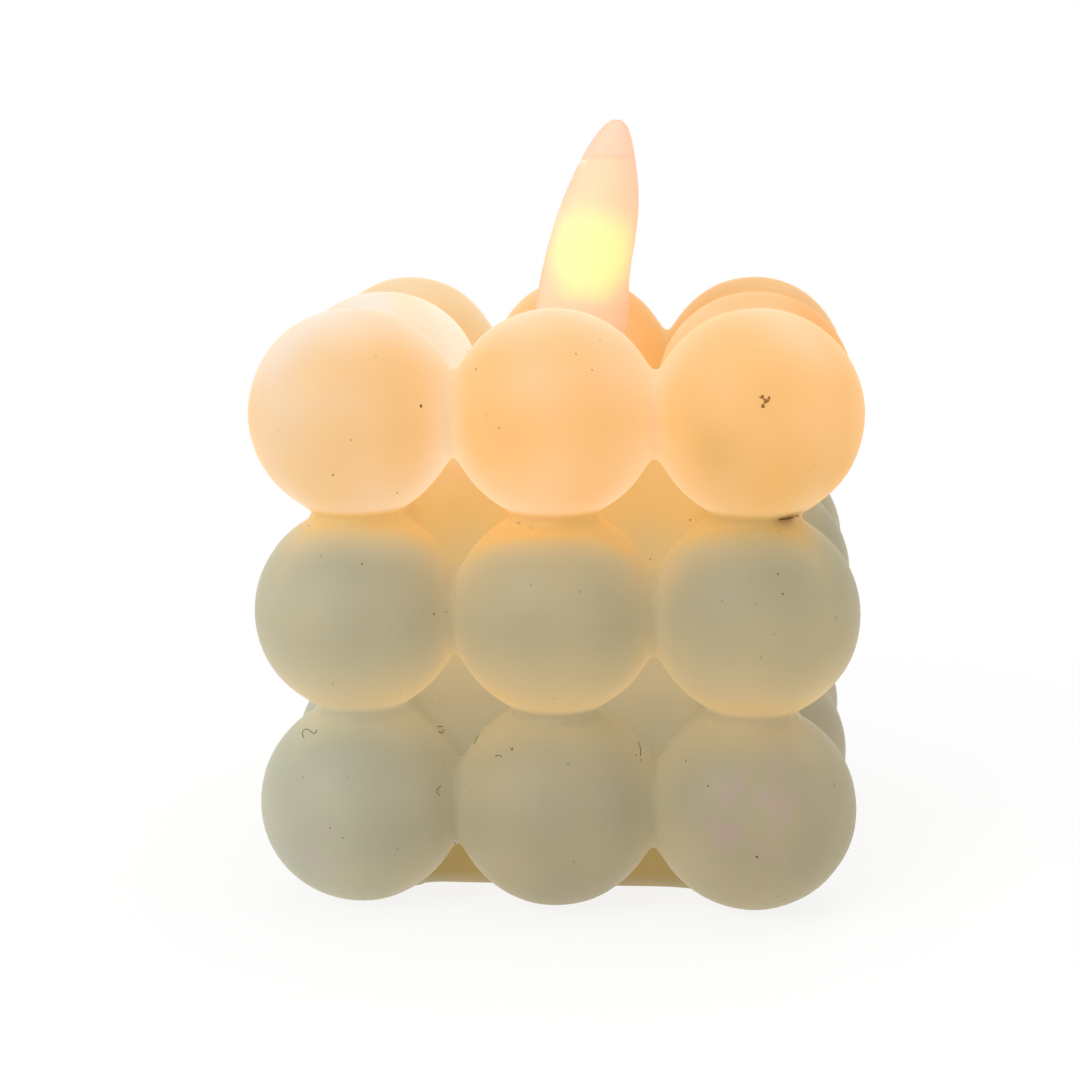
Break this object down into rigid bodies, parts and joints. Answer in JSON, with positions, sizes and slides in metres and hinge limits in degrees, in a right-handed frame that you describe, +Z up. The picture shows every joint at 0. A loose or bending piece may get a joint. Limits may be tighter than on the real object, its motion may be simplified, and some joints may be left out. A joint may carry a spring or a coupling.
{
  "type": "battery candle",
  "caption": "Cube of melted-together wax balls with a moulded flame, lit from inside by a small battery lamp module with a slide switch and a twist-off battery door.",
  "frame": {"origin": "bottom centre of the candle, on the surface it stands on", "axes": "+Z up along the flame, front face towards -Y, +X to the right seen from the front"},
  "size_m": [0.0604, 0.0604, 0.078],
  "materials": {
    "wax": "satin cast wax",
    "flame": "frosted translucent moulding",
    "lamp_lens": "clear cast epoxy",
    "lamp_die": "lit",
    "ivory_plastic": "fine textured moulding",
    "dark_plastic": "matte moulding",
    "board": "coated glass-fibre board",
    "epoxy": "glossy epoxy",
    "glue": "cloudy hot-melt",
    "steel": "plain",
    "nickel": "nickel plated",
    "solder": "bright solder",
    "wire_red": "vinyl insulation",
    "wire_black": "vinyl insulation",
    "sleeve": "shrunk sleeve",
    "ceramic_chip": "fired"
  },
  "bodies": {
    "candle": {"wax_body": "wax", "flame_shell": "flame", "led_holder": "ivory_plastic", "led_lens": "lamp_lens", "led_die": "lamp_die", "led_anode": "nickel", "led_cathode": "nickel", "lead_sleeves": "sleeve", "wire_red": "wire_red", "wire_black": "wire_black", "top_cover": "ivory_plastic", "base_housing": "ivory_plastic", "housing_screws": "steel", "glue_dabs": "glue", "circuit_board": "board", "controller_blob": "epoxy", "chip_resistors": "ceramic_chip", "chip_capacitor": "ceramic_chip", "solder_joints": "solder", "switch_base": "dark_plastic", "switch_frame": "nickel", "switch_pins": "nickel", "contact_positive": "nickel", "contact_negative": "nickel", "coin_cell": "nickel"},
    "switch_knob": {"switch_slider": "dark_plastic", "switch_wiper": "nickel"},
    "door": {"battery_door": "ivory_plastic"}
  },
  "joints": [
    {"name": "switch_slide", "type": "slide", "parent": "candle", "child": "switch_knob", "axis": [1, 0, 0], "range_m": [-0.002, 0]},
    {"name": "battery_door_twist", "type": "hinge", "parent": "candle", "child": "door", "pos_m": [0, 0.0026, 0.0016], "axis": [0, 0, 1], "range_deg": [0, 30]}
  ]
}
